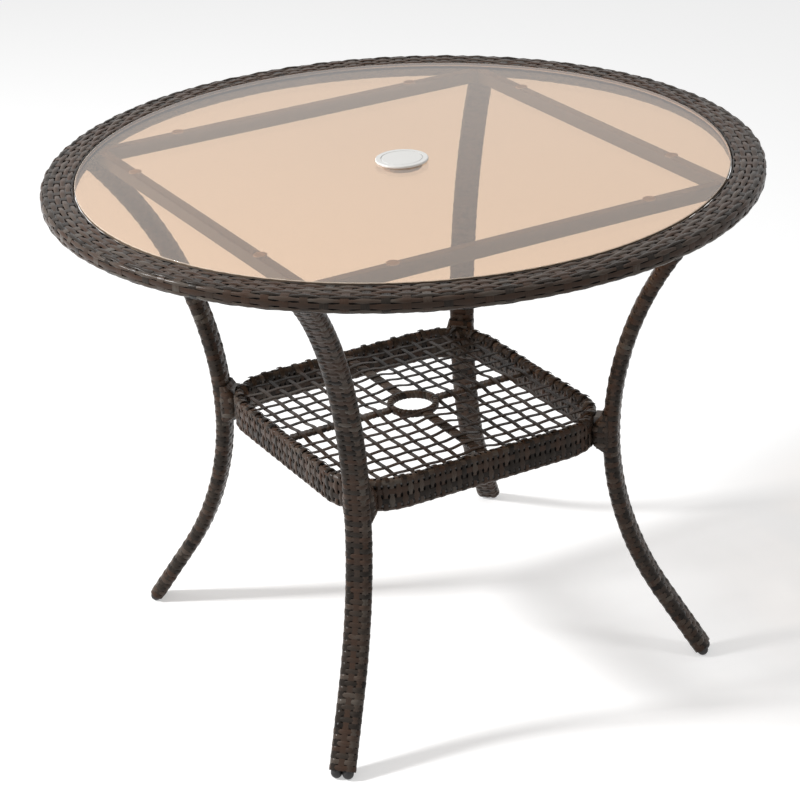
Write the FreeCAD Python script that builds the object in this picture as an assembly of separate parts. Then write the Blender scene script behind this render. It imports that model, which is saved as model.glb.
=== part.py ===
import FreeCAD, Part
import math
import os

# Round patio table with a woven rim, a tinted glass top, four curved woven legs
# and a square woven shelf with a ring for the umbrella pole.
# Sizes are millimetres. The origin is on the floor at the centre, up is +Z,
# and the shelf's sides run along X and Y. The legs stand on the diagonals.

Vector = FreeCAD.Vector
UP = Vector(0, 0, 1)
ACROSS = Vector(0, 1, 0)
ORIGIN = Vector(0, 0, 0)

# Rim
rim_outer_r = 500.0
rim_w = 47.0
rim_h = 24.0
rim_top_z = 738.0
rim_inner_r = rim_outer_r - rim_w
rim_bottom_z = rim_top_z - rim_h
rim_edge_r = 7.5
rim_wicker_t = 2.5

# Clearances inside the frame
wrap_gap = 0.15
hole_gap = 0.2

# Hoops inside the rim
rim_mid_z = (rim_top_z + rim_bottom_z) / 2
rim_cavity_r = (rim_top_z - rim_bottom_z) / 2 - rim_wicker_t
hoop_r = rim_cavity_r - wrap_gap
hoop_wall = 1.2
hoop_inner_at = rim_inner_r + rim_wicker_t + rim_cavity_r
hoop_outer_at = rim_outer_r - rim_wicker_t - rim_cavity_r

# Glass and its fittings
glass_t = 5.0
glass_gap = 1.2
glass_r = rim_inner_r - glass_gap
glass_top_z = rim_top_z
glass_low_z = glass_top_z - glass_t
glass_edge = 1.2
glass_hole_r = 28.3
pad_t = 1.5
pad_r = 9.0
pad_edge = 0.5

# Rails under the glass
rail_w = 15.0
rail_h = 20.0
rail_wall = 1.2
rail_edge = 2.0
rail_corner_in = 3.8
rail_outer = hoop_inner_at / math.sqrt(2) - rail_corner_in
rail_inner = rail_outer - rail_w
rail_mid = rail_inner + rail_w / 2
rail_top_z = glass_low_z - pad_t
rail_low_z = rail_top_z - rail_h
pad_from_end = 131.0
pad_along = rail_outer - pad_from_end

# Umbrella ring and cap
sleeve_gap = 0.6
sleeve_wall = 2.7
sleeve_below = 5.0
sleeve_r = glass_hole_r - sleeve_gap
sleeve_bore_r = sleeve_r - sleeve_wall
sleeve_low_z = glass_low_z - sleeve_below
socket_step = 0.4
socket_r = sleeve_bore_r + socket_step
seat_w = 4.4
seat_r = sleeve_bore_r + seat_w
seat_t = 1.6
flange_w = 7.6
flange_r = seat_r + flange_w
flange_t = 3.0
flange_edge = 1.2
cap_gap = 0.4
cap_r = seat_r - cap_gap
cap_edge = 0.8
plug_r = socket_r - cap_gap
plug_len = 4.0
plug_wall = 2.0
socket_deep = plug_len + 1.0

# Legs. Radii are distances from the table's centre line.
tube_r = 8.0
tube_wall = 1.2
tube_apart = tube_r + wrap_gap
leg_cavity_r = tube_r + wrap_gap
leg_wicker_t = 2.5
leg_wicker_r = leg_cavity_r + leg_wicker_t
waist_r = 291.5
waist_z = 336.0
lower_bend = 425.0
lower_turn = 34.0
leg_top_in = 1.0
leg_top_rise = rim_bottom_z - waist_z
leg_top_run = hoop_inner_at - leg_top_in - waist_r
upper_bend = (leg_top_run ** 2 + leg_top_rise ** 2) / (2 * leg_top_run)
upper_turn = math.degrees(math.asin(leg_top_rise / upper_bend)) + 5.0
upper_mid = waist_r + upper_bend
lower_mid = waist_r + lower_bend
leg_wicker_top = rim_bottom_z - hole_gap
tube_top = rim_mid_z - 0.75 * hoop_r

# Foot caps
sole_r = 3.2
cap_collar = 2.0
cap_stem = 12.0
cap_stem_r = tube_r - tube_wall - wrap_gap

# Shelf frame
leg_face = waist_r - leg_wicker_r
bracket_room = 11.83
corner_face = leg_face - bracket_room
shelf_corner = 88.0
shelf_half = shelf_corner + (corner_face - shelf_corner) / math.sqrt(2)
shelf_below_waist = 11.5
shelf_h = 48.5
shelf_low_z = waist_z - shelf_below_waist
shelf_top_z = shelf_low_z + shelf_h
shelf_wall = 16.0
shelf_wicker_t = 2.35
shelf_band_r = shelf_wall / 2
shelf_cavity_r = shelf_band_r - shelf_wicker_t
shelf_tube_r = shelf_cavity_r - wrap_gap
shelf_tube_wall = 1.0
shelf_line = shelf_half - shelf_band_r
shelf_turn_r = shelf_corner - shelf_band_r
shelf_turn_at = shelf_half - shelf_corner
upper_tube_z = shelf_top_z - shelf_band_r
lower_tube_z = shelf_low_z + shelf_band_r
shelf_inside = shelf_half - shelf_wall
shelf_inside_r = shelf_corner - shelf_wall

# Cross bars and ring of the shelf
bar_w = 12.0
bar_h = 3.0
bar_wicker_t = 1.2
bar_z = upper_tube_z
ring_bore_r = 29.0
ring_out_r = 37.5
ring_h = 11.0
ring_edge = 2.5
ring_wicker_t = 2.35
ring_core_in = ring_bore_r + ring_wicker_t + wrap_gap
ring_core_out = ring_out_r - ring_wicker_t - wrap_gap
ring_core_h = ring_h - 2 * ring_wicker_t - 2 * wrap_gap

# Lattice floor
strand_w = 5.0
strand_t = 2.4
strand_first = 35.5
strand_last_in = 15.4
strand_count = 7
strand_step = (shelf_inside - strand_last_in - strand_first) / (strand_count - 1)
net_rise = 0.5
net_z = upper_tube_z + net_rise
net_border = 2.0

# Brackets, lashings and bolts between shelf and legs
corner_mid = shelf_turn_at * math.sqrt(2)
bracket_half = 12.0
bracket_back = leg_face - wrap_gap
bracket_set_back = 2.4
lashing_half = 22.8
lashing_lip = 1.3
lashing_lip_half = tube_apart + leg_wicker_r + wrap_gap + lashing_lip
lashing_below = 6.5
lashing_swell = 17.0
lashing_top_in = 20.0
lashing_shoulder = 10.0
lashing_over = 8.0
lashing_low_z = shelf_low_z - lashing_below
lashing_top_z = shelf_top_z - lashing_top_in
lashing_leg_z = shelf_top_z + lashing_over
bracket_up_low = 4.0
bracket_top_in = 1.5
bracket_low_z = lashing_low_z + bracket_up_low
bracket_step_z = lashing_top_z + hole_gap
bracket_top_z = shelf_top_z - bracket_top_in
bolt_z = (upper_tube_z + lower_tube_z) / 2
bolt_r = 3.0
bolt_play = 0.3
bolt_seat = 0.05
bolt_tip = leg_face - 2.0
bolt_head_r = 5.5
bolt_head_h = 3.5
bolt_key_r = 2.3
bolt_key_deep = 2.0
washer_r = 8.0
washer_t = 1.5
washer_gap = 0.1

# Where the legs stand, as turns about the centre line
leg_turns = {"front_left": -135.0, "front_right": -45.0, "back_right": 45.0, "back_left": 135.0}
side_turns = {"front": -90.0, "right": 0.0, "back": 90.0, "left": 180.0}


def turned(shape, angle):
    """A copy of the shape turned about the table's centre line."""
    copy = shape.copy()
    copy.rotate(ORIGIN, UP, angle)
    return copy


def biggest(shape):
    """The largest solid of a cut shape, so that no offcut is kept."""
    return max(shape.Solids, key=lambda s: s.Volume)


def rounded(a0, a1, b0, b1, rad, put):
    """Closed rounded outline between a0, a1 and b0, b1. put gives each point its place."""
    k = rad * (1 - math.sqrt(0.5))
    corners = [
        (put(a1 - rad, b0), put(a1 - k, b0 + k), put(a1, b0 + rad)),
        (put(a1, b1 - rad), put(a1 - k, b1 - k), put(a1 - rad, b1)),
        (put(a0 + rad, b1), put(a0 + k, b1 - k), put(a0, b1 - rad)),
        (put(a0, b0 + rad), put(a0 + k, b0 + k), put(a0 + rad, b0)),
    ]
    edges = []
    last = corners[3][2]
    for start, middle, end in corners:
        if last.distanceToPoint(start) > 1e-6:
            edges.append(Part.makeLine(last, start))
        edges.append(Part.Arc(start, middle, end).toShape())
        last = end
    return Part.Wire(edges)


def upright(a, b):
    """Point of a section that stands in the XZ plane."""
    return Vector(a, 0, b)


def level(z):
    """Points of a section that lies flat at the height z."""
    return lambda a, b: Vector(a, b, z)


def holed(outer, inner):
    """Face between two outlines."""
    return Part.Face(outer).cut(Part.Face(inner))


# Rim


def hoop(at):
    """Round steel tube bent to a full hoop."""
    outer = Part.makeTorus(at, hoop_r, Vector(0, 0, rim_mid_z))
    inner = Part.makeTorus(at, hoop_r - hoop_wall, Vector(0, 0, rim_mid_z))
    return outer.cut(inner)


def rail_zone(extra):
    """Square ring that the four rails fill, grown by a clearance."""
    out = rail_outer + extra
    inn = rail_inner - extra
    low = rail_low_z - extra
    tall = rail_h + 2 * extra
    block = Part.makeBox(2 * out, 2 * out, tall, Vector(-out, -out, low))
    return block.cut(Part.makeBox(2 * inn, 2 * inn, tall, Vector(-inn, -inn, low)))


def hoop_zone(at, extra):
    """Room of one hoop, grown by a clearance."""
    return Part.makeTorus(at, hoop_r + extra, Vector(0, 0, rim_mid_z))


def rail():
    """Rail on the right side: a rectangular tube mitred at both ends and coped to the hoop."""
    far = rail_outer + 2 * rail_w
    low = rail_low_z
    high = rail_top_z
    outer = rounded(rail_inner, rail_outer, low, high, rail_edge, upright)
    inner = rounded(
        rail_inner + rail_wall,
        rail_outer - rail_wall,
        low + rail_wall,
        high - rail_wall,
        rail_edge - rail_wall,
        upright,
    )
    tube = holed(outer, inner).extrude(Vector(0, 2 * far, 0))
    tube.translate(Vector(0, -far, 0))
    ends = Part.makePolygon([
        Vector(0, 0, low - rail_h),
        Vector(far, -far, low - rail_h),
        Vector(far, far, low - rail_h),
        Vector(0, 0, low - rail_h),
    ])
    wedge = Part.Face(ends).extrude(Vector(0, 0, 3 * rail_h))
    return biggest(tube.common(wedge).cut(hoop_zone(hoop_inner_at, wrap_gap)))


def rim_cover(leg_holes):
    """Woven cover of the rim, with holes where the legs and the rails come in."""
    outer = rounded(rim_inner_r, rim_outer_r, rim_bottom_z, rim_top_z, rim_edge_r, upright)
    inner = rounded(
        rim_inner_r + rim_wicker_t,
        rim_outer_r - rim_wicker_t,
        rim_bottom_z + rim_wicker_t,
        rim_top_z - rim_wicker_t,
        rim_cavity_r - 0.001,
        upright,
    )
    ring = holed(outer, inner).revolve(ORIGIN, UP, 360)
    return biggest(ring.cut(leg_holes + [rail_zone(hole_gap)]))


# Legs. Each is drawn on the right side of the centre line and turned to its corner.


def leg_run(face):
    """Sweep a section down the leg: an upper bend, a lower bend and a straight foot."""
    up = face.revolve(Vector(upper_mid, 0, waist_z), ACROSS, upper_turn)
    down = face.revolve(Vector(lower_mid, 0, waist_z), ACROSS, -lower_turn)
    foot = face.copy()
    foot.rotate(Vector(lower_mid, 0, waist_z), ACROSS, -lower_turn)
    straight = foot.extrude(foot_way() * foot_length())
    return up.fuse([down, straight]).removeSplitter()


def foot_way():
    """Direction of the straight foot, down and out."""
    turn = math.radians(lower_turn)
    return Vector(math.sin(turn), 0, -math.cos(turn))


def bend_end():
    """Point on the leg's centre line where the straight foot starts."""
    turn = math.radians(lower_turn)
    return Vector(lower_mid - lower_bend * math.cos(turn), 0, waist_z - lower_bend * math.sin(turn))


def cap_centre_z():
    """Height of the foot cap's dome centre, so that its flat sole lies on the floor."""
    return math.sqrt(tube_r ** 2 - sole_r ** 2)


def foot_length():
    """Length of the straight foot down to the tubes' ends."""
    end_z = cap_centre_z() + cap_collar * math.cos(math.radians(lower_turn))
    return (bend_end().z - end_z) / math.cos(math.radians(lower_turn))


def oval(rad):
    """Oval section round both tubes at the waist."""
    side = tube_apart + rad
    return rounded(waist_r - rad, waist_r + rad, -side, side, rad - 0.001, level(waist_z))


def below(z):
    """Everything around a leg below the height z."""
    return Part.makeBox(2 * rim_outer_r, rim_outer_r, 2 * z, Vector(0, -rim_outer_r / 2, -z))


def leg_hole():
    """Room for both tubes of a leg where they enter the rim."""
    solid = leg_run(Part.Face(oval(tube_r + hole_gap)))
    low = below(rim_bottom_z - rim_h)
    return solid.common(below(rim_mid_z - rim_h / 6)).cut(low)


def leg_tube(side, rails):
    """One bent steel tube of a leg, coped to the inner hoop and the rails."""
    mid = Vector(waist_r, side * tube_apart, waist_z)
    outer = Part.Face(Part.Wire(Part.makeCircle(tube_r, mid)))
    inner = Part.Face(Part.Wire(Part.makeCircle(tube_r - tube_wall, mid)))
    tube = leg_run(outer.cut(inner)).common(below(tube_top))
    hoops = [hoop_zone(hoop_inner_at, wrap_gap), hoop_zone(hoop_outer_at, wrap_gap)]
    return biggest(tube.cut(hoops + [rails]))


def leg_cover(rails):
    """Woven cover of a leg."""
    cover = leg_run(holed(oval(leg_wicker_r), oval(leg_cavity_r)))
    return biggest(cover.common(below(leg_wicker_top)).cut(rails))


def foot_cap(side):
    """Rounded end cap with a stem in the tube and a flat sole on the floor."""
    end = bend_end() + foot_way() * foot_length() + Vector(0, side * tube_apart, 0)
    stem = Part.makeCylinder(cap_stem_r, cap_stem, end - foot_way() * cap_stem, foot_way())
    collar = Part.makeCylinder(tube_r, cap_collar, end, foot_way())
    dome = Part.makeSphere(tube_r, end + foot_way() * cap_collar)
    ball = dome.cut(Part.makeCylinder(3 * tube_r, 3 * tube_r, end + foot_way() * cap_collar, -foot_way()))
    cap = ball.fuse([collar, stem]).removeSplitter()
    wide = 8 * tube_r
    return cap.cut(Part.makeBox(wide, wide, wide, Vector(end.x - wide / 2, -wide / 2, -wide)))


# Shelf


def around_shelf(section, line, turn_r):
    """Sweep a section, drawn at the right side's line, once round the shelf."""
    at = line - turn_r
    start = section.copy()
    start.translate(Vector(0, -at, 0))
    side = start.extrude(Vector(0, 2 * at, 0))
    end = section.copy()
    end.translate(Vector(0, at, 0))
    bend = end.revolve(Vector(at, at, 0), UP, 90)
    pieces = []
    for quarter in range(4):
        pieces.append(turned(side, 90 * quarter))
        pieces.append(turned(bend, 90 * quarter))
    return pieces[0].fuse(pieces[1:]).removeSplitter()


def shelf_tube(z):
    """Round steel tube bent to the shelf's rounded square."""
    mid = Vector(shelf_line, 0, z)
    outer = Part.Face(Part.Wire(Part.makeCircle(shelf_tube_r, mid, ACROSS)))
    inner = Part.Face(Part.Wire(Part.makeCircle(shelf_tube_r - shelf_tube_wall, mid, ACROSS)))
    return around_shelf(outer.cut(inner), shelf_line, shelf_turn_r)


def bar_solid(rad, start, stop):
    """Flat bar with round edges on the right side, at the given half height."""
    half = bar_w / 2 - bar_h / 2 + rad
    out = rounded(-half, half, bar_z - rad, bar_z + rad, rad - 0.001, lambda a, b: Vector(start, a, b))
    return Part.Face(out).extrude(Vector(stop - start, 0, 0))


def shelf_bar():
    """Flat steel cross bar from the ring to the upper shelf tube."""
    stop = shelf_line - shelf_tube_r - wrap_gap
    return biggest(bar_solid(bar_h / 2, 0, stop).cut(ring_room(ring_core_out)))


def shelf_bar_cover():
    """Woven cover of a cross bar, between the ring's cover and the shelf's band."""
    stop = shelf_inside - wrap_gap
    solid = bar_solid(bar_h / 2 + wrap_gap + bar_wicker_t, 0, stop)
    tube = solid.cut(bar_solid(bar_h / 2 + wrap_gap, 0, stop))
    return biggest(tube.cut(ring_room(ring_out_r)))


def ring_room(rad):
    """Room for a ring of the given radius, where the cross bars end."""
    return Part.makeCylinder(rad + wrap_gap, 4 * ring_h, Vector(0, 0, bar_z - 2 * ring_h))


def ring_tube(r_in, r_out, tall, edge):
    """Ring round the centre line at the cross bars' height."""
    section = rounded(r_in, r_out, bar_z - tall / 2, bar_z + tall / 2, edge, upright)
    return Part.Face(section).revolve(ORIGIN, UP, 360)


def bar_rooms():
    """Room for the four cross bars where they pass a woven cover."""
    room = bar_solid(bar_h / 2 + hole_gap, ring_core_in + wrap_gap, shelf_line)
    return [turned(room, angle) for angle in side_turns.values()]


def ring_cover(rooms):
    """Woven cover of the shelf's ring."""
    outer = ring_tube(ring_bore_r, ring_out_r, ring_h, ring_edge)
    grown = ring_core_h + 2 * wrap_gap
    inner = ring_tube(ring_core_in - wrap_gap, ring_core_out + wrap_gap, grown, 0.5)
    return biggest(outer.cut(inner).cut(rooms))


def corner_cylinder(rad, low, high):
    """Cylinder about a shelf corner's turning centre, drawn on the right side."""
    return Part.makeCylinder(rad, high - low, Vector(corner_mid, 0, low))


def shelf_band(rooms):
    """Woven band round both shelf tubes, with holes for the cross bars and the bolts."""
    outer = rounded(
        shelf_inside, shelf_half, shelf_low_z, shelf_top_z, shelf_band_r - 0.001, upright
    )
    inner = rounded(
        shelf_inside + shelf_wicker_t,
        shelf_half - shelf_wicker_t,
        shelf_low_z + shelf_wicker_t,
        shelf_top_z - shelf_wicker_t,
        shelf_cavity_r - 0.001,
        upright,
    )
    band = around_shelf(holed(outer, inner), shelf_line, shelf_turn_r)
    start = Vector(corner_face - 2 * shelf_wall, 0, bolt_z)
    bolt_room = Part.makeCylinder(bolt_r + bolt_play, 3 * shelf_wall, start, Vector(1, 0, 0))
    holes = [turned(bolt_room, angle) for angle in leg_turns.values()]
    return biggest(band.cut(rooms + holes))


def lattice():
    """Lattice floor of the back right quarter, cut as one holed face."""
    near = bar_w / 2 + wrap_gap + bar_wicker_t + wrap_gap
    far = shelf_inside - wrap_gap
    turn = shelf_inside_r - wrap_gap
    field = quarter_field(near, far, turn)
    inside = quarter_field(near + net_border, far - net_border, turn - net_border)
    lines = [strand_first + strand_step * i for i in range(strand_count)]
    starts = [near + net_border] + [line + strand_w / 2 for line in lines]
    stops = [line - strand_w / 2 for line in lines] + [far + strand_w]
    hub = Part.Face(Part.Wire(Part.makeCircle(ring_out_r + wrap_gap, Vector(0, 0, net_z))))
    hub_rim = Part.Face(Part.Wire(Part.makeCircle(ring_out_r + wrap_gap + net_border, Vector(0, 0, net_z))))
    inside = inside.cut(hub_rim)
    least = net_border ** 2 * 3
    gaps = []
    for x0, x1 in zip(starts, stops):
        for y0, y1 in zip(starts, stops):
            cell = Part.makePlane(x1 - x0, y1 - y0, Vector(x0, y0, net_z))
            gaps += [f for f in cell.common(inside).Faces if f.Area > least]
    net = field.cut(hub).cut(gaps)
    solid = net.extrude(Vector(0, 0, strand_t))
    solid.translate(Vector(0, 0, -strand_t / 2))
    return biggest(solid)


def quarter_field(near, far, turn):
    """Quarter of the shelf's floor, with its outer corner rounded."""
    k = turn * (1 - math.sqrt(0.5))
    start = Vector(far, far - turn, net_z)
    middle = Vector(far - k, far - k, net_z)
    end = Vector(far - turn, far, net_z)
    edges = [
        Part.makeLine(Vector(near, near, net_z), Vector(far, near, net_z)),
        Part.makeLine(Vector(far, near, net_z), start),
        Part.Arc(start, middle, end).toShape(),
        Part.makeLine(end, Vector(near, far, net_z)),
        Part.makeLine(Vector(near, far, net_z), Vector(near, near, net_z)),
    ]
    return Part.Face(Part.Wire(edges))


# Joints between shelf and legs


def block(x0, x1, half, low, high):
    """Plain block on the right side."""
    return Part.makeBox(x1 - x0, 2 * half, high - low, Vector(x0, -half, low))


def bracket():
    """Steel block between a leg and a shelf corner, with a threaded hole for the bolt."""
    front = corner_face + bracket_set_back
    lower = block(front, bracket_back, bracket_half, bracket_low_z, bracket_step_z)
    upper = block(corner_face - bracket_half, bracket_back, bracket_half, bracket_step_z, bracket_top_z)
    upper = upper.cut(corner_cylinder(shelf_corner + wrap_gap, bracket_low_z, bracket_top_z))
    body = lower.fuse(upper).removeSplitter()
    start = Vector(corner_face - bracket_half, 0, bolt_z)
    thread = Part.makeCylinder(bolt_r + bolt_seat, 3 * bracket_half, start, Vector(1, 0, 0))
    return biggest(body.cut(thread))


def lashing_outline(half, z):
    """Outline of the lashing at one height, narrowing along the leg's flanks."""
    back = corner_face - bracket_half
    deep = waist_r - leg_face
    narrow = half - lashing_lip_half
    bow = (deep ** 2 + narrow ** 2) / (2 * narrow)
    turn = math.asin(deep / bow) / 2
    middle = Vector(leg_face + bow * math.sin(turn), half - bow * (1 - math.cos(turn)), z)
    mirrored = Vector(middle.x, -middle.y, z)
    right = [Vector(back, -half, z), Vector(leg_face, -half, z), Vector(waist_r, -lashing_lip_half, z)]
    left = [Vector(waist_r, lashing_lip_half, z), Vector(leg_face, half, z), Vector(back, half, z)]
    return Part.Wire([
        Part.makeLine(right[0], right[1]),
        Part.Arc(right[1], mirrored, right[2]).toShape(),
        Part.makeLine(right[2], left[0]),
        Part.Arc(left[0], middle, left[1]).toShape(),
        Part.makeLine(left[1], left[2]),
        Part.makeLine(left[2], right[0]),
    ])


def lashing_slope():
    """Room above the lashing, whose top climbs from the shelf's corner up the leg."""
    back = corner_face - bracket_half - wrap_gap
    high = lashing_leg_z + lashing_shoulder
    step = corner_face + bracket_set_back
    outline = [(back, lashing_top_z), (step, lashing_top_z), (waist_r, lashing_leg_z), (waist_r, high), (back, high)]
    points = [Vector(x, -2 * lashing_half, z) for x, z in outline]
    return Part.Face(Part.makePolygon(points + points[:1])).extrude(Vector(0, 4 * lashing_half, 0))


def lashing():
    """Woven lashing that swells from the leg's flanks over the bracket, up to the shelf's corner."""
    end_half = lashing_lip_half + hole_gap
    body = Part.makeLoft([
        lashing_outline(end_half, lashing_low_z),
        lashing_outline(lashing_half, lashing_low_z + lashing_swell),
        lashing_outline(lashing_half, lashing_top_z + lashing_shoulder),
        lashing_outline(end_half, lashing_leg_z),
    ], True, True)
    body = body.cut(corner_cylinder(shelf_corner + wrap_gap, lashing_low_z, lashing_leg_z))
    room = block(
        corner_face + bracket_set_back - wrap_gap,
        leg_face + bracket_set_back,
        bracket_half + wrap_gap,
        bracket_low_z - wrap_gap,
        lashing_leg_z,
    )
    start = Vector(corner_face - bracket_half, 0, bolt_z)
    bolt_room = Part.makeCylinder(bolt_r + bolt_play, 2 * bracket_half, start, Vector(1, 0, 0))
    leg = leg_run(Part.Face(oval(leg_wicker_r + wrap_gap)))
    return biggest(body.cut([room, bolt_room, lashing_slope(), leg]))


def washer_face():
    """Where a washer lies against the inside of the shelf's corner."""
    inner = shelf_corner - shelf_wall
    return corner_mid + math.sqrt(inner ** 2 - washer_r ** 2) - washer_gap


def washer():
    """Flat washer under a bolt's head."""
    start = Vector(washer_face() - washer_t, 0, bolt_z)
    disc = Part.makeCylinder(washer_r, washer_t, start, Vector(1, 0, 0))
    return disc.cut(Part.makeCylinder(bolt_r + bolt_play, washer_t, start, Vector(1, 0, 0)))


def bolt():
    """Button head bolt with a six sided key hole."""
    seat = washer_face() - washer_t
    head = Part.makeCylinder(bolt_head_r, bolt_head_h, Vector(seat - bolt_head_h, 0, bolt_z), Vector(1, 0, 0))
    rims = [e for e in head.Edges if len(e.Vertexes) == 1 and abs(e.CenterOfMass.x - seat + bolt_head_h) < 0.01]
    head = head.makeFillet(1.6, rims)
    shank = Part.makeCylinder(bolt_r, bolt_tip - seat, Vector(seat, 0, bolt_z), Vector(1, 0, 0))
    points = []
    for i in range(7):
        turn = math.radians(60 * i)
        spot = Vector(seat - bolt_head_h, bolt_key_r * math.cos(turn), bolt_z + bolt_key_r * math.sin(turn))
        points.append(spot)
    key = Part.Face(Part.makePolygon(points)).extrude(Vector(bolt_key_deep, 0, 0))
    return head.fuse(shank).cut(key)


# Glass and its fittings


def glass():
    """Tinted glass disc with polished edges and a hole for the umbrella."""
    disc = Part.makeCylinder(glass_r, glass_t, Vector(0, 0, glass_low_z))
    disc = disc.cut(Part.makeCylinder(glass_hole_r, glass_t, Vector(0, 0, glass_low_z)))
    edges = [e for e in disc.Edges if len(e.Vertexes) == 1]
    outer = [e for e in edges if e.BoundBox.XLength > glass_r]
    disc = disc.makeFillet(glass_edge, outer)
    inner = [e for e in disc.Edges if len(e.Vertexes) == 1 and e.BoundBox.XLength < 3 * glass_hole_r]
    return disc.makeFillet(glass_edge / 2, inner)


def pads():
    """Eight clear pads stuck on the rails."""
    pad = Part.makeCylinder(pad_r, pad_t, Vector(rail_mid, pad_along, rail_top_z))
    top = [e for e in pad.Edges if len(e.Vertexes) == 1 and abs(e.CenterOfMass.z - glass_low_z) < 0.01]
    pad = pad.makeFillet(pad_edge, top)
    other = pad.copy()
    other.translate(Vector(0, -2 * pad_along, 0))
    group = []
    for angle in side_turns.values():
        group.append(turned(pad, angle))
        group.append(turned(other, angle))
    return Part.makeCompound(group)


def spun(points):
    """Solid turned from an outline of radius and height pairs."""
    corners = [Vector(r, 0, z) for r, z in points]
    return Part.Face(Part.makePolygon(corners + corners[:1])).revolve(ORIGIN, UP, 360)


def umbrella_sleeve():
    """Flanged sleeve that lines the glass's hole, with a seat for the cap."""
    top = glass_top_z + flange_t
    seat = top - seat_t
    socket_z = seat - socket_deep
    return spun([
        (sleeve_bore_r, sleeve_low_z),
        (sleeve_r, sleeve_low_z),
        (sleeve_r, glass_top_z),
        (flange_r, glass_top_z),
        (flange_r, top - flange_edge),
        (flange_r - 0.35 * flange_edge, top - 0.35 * flange_edge),
        (flange_r - flange_edge, top),
        (seat_r, top),
        (seat_r, seat),
        (socket_r, seat),
        (socket_r, socket_z),
        (sleeve_bore_r, socket_z),
    ])


def umbrella_plug():
    """Cap that closes the sleeve: a thin disc with a hollow plug below."""
    top = glass_top_z + flange_t
    low = top - seat_t
    return spun([
        (0, low),
        (plug_r - plug_wall, low),
        (plug_r - plug_wall, low - plug_len),
        (plug_r, low - plug_len),
        (plug_r, low),
        (cap_r, low),
        (cap_r, top - cap_edge),
        (cap_r - cap_edge, top),
        (0, top),
    ])


def save(name, shape):
    """Write one piece to its own file."""
    shape.exportStep("parts/" + name + ".step")


def build_top():
    """Rim, rails, glass and umbrella fittings."""
    hole = leg_hole()
    save("rim_hoop_inner", hoop(hoop_inner_at))
    save("rim_hoop_outer", hoop(hoop_outer_at))
    save("rim_wicker", rim_cover([turned(hole, angle) for angle in leg_turns.values()]))
    one_rail = rail()
    for side, angle in side_turns.items():
        save("rail_" + side, turned(one_rail, angle))
    save("glass_pads", pads())
    save("glass_top", glass())
    save("umbrella_ring", umbrella_sleeve())
    save("umbrella_cap", umbrella_plug())


def build_legs():
    """Four legs with their tubes, covers and foot caps."""
    rails = turned(rail_zone(wrap_gap), 45)
    tube_a = leg_tube(-1, rails)
    tube_b = leg_tube(1, rails)
    cover = leg_cover(rails)
    caps = Part.makeCompound([foot_cap(-1), foot_cap(1)])
    for corner, angle in leg_turns.items():
        save("leg_tube_a_" + corner, turned(tube_a, angle))
        save("leg_tube_b_" + corner, turned(tube_b, angle))
        save("leg_wicker_" + corner, turned(cover, angle))
        save("foot_caps_" + corner, turned(caps, angle))


def build_shelf():
    """Shelf frame, cross bars, ring and lattice floor."""
    rooms = bar_rooms()
    save("shelf_tube_upper", shelf_tube(upper_tube_z))
    save("shelf_tube_lower", shelf_tube(lower_tube_z))
    save("shelf_wicker", shelf_band(rooms))
    save("shelf_ring", ring_tube(ring_core_in, ring_core_out, ring_core_h, 0.5))
    save("shelf_ring_wicker", ring_cover(rooms))
    bar = shelf_bar()
    bar_cover = shelf_bar_cover()
    for side, angle in side_turns.items():
        save("shelf_bar_" + side, turned(bar, angle))
        save("shelf_bar_wicker_" + side, turned(bar_cover, angle))
    net = lattice()
    for corner, angle in leg_turns.items():
        save("shelf_net_" + corner, turned(net, angle - 45))


def build_joints():
    """Brackets, lashings, bolts and washers between shelf and legs."""
    one_bracket = bracket()
    one_lashing = lashing()
    for corner, angle in leg_turns.items():
        save("shelf_bracket_" + corner, turned(one_bracket, angle))
        save("shelf_lashing_" + corner, turned(one_lashing, angle))
    save("shelf_bolts", Part.makeCompound([turned(bolt(), a) for a in leg_turns.values()]))
    save("shelf_washers", Part.makeCompound([turned(washer(), a) for a in leg_turns.values()]))


os.makedirs("parts", exist_ok=True)
build_top()
build_legs()
build_shelf()
build_joints()
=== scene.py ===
import math
from collections import namedtuple

import bpy
import numpy as np
from bpy.props import FloatProperty, FloatVectorProperty, IntProperty, PointerProperty
from mathutils import Matrix, Vector


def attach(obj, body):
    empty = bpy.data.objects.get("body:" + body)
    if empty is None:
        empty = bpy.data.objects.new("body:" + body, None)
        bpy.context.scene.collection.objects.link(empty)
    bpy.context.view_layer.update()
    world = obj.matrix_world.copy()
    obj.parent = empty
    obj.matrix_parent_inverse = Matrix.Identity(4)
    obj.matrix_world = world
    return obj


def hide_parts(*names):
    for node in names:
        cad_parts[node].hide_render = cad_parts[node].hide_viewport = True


bl_info = {
    "name": "Woven Umbrella Table",
    "version": (1, 0, 0),
    "blender": (4, 5, 0),
    "location": "3D View > Sidebar > Woven Table",
    "description": "Weaves and finishes a round patio table with a tinted glass top and a lattice shelf",
    "category": "Add Mesh",
}

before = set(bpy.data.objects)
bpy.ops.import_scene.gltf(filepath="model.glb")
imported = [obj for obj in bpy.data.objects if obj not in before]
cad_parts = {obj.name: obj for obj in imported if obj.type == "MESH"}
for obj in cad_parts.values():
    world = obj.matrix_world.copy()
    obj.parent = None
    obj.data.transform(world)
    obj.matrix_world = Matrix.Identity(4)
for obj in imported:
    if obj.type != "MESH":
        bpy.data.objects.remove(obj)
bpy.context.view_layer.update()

CORNERS = {"front_left": -135.0, "front_right": -45.0, "back_right": 45.0, "back_left": 135.0}
SIDES = {"front": -90.0, "right": 0.0, "back": 90.0, "left": 180.0}


# Sizes and colours


SHARE = {"min": 0.0, "max": 0.6}


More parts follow.
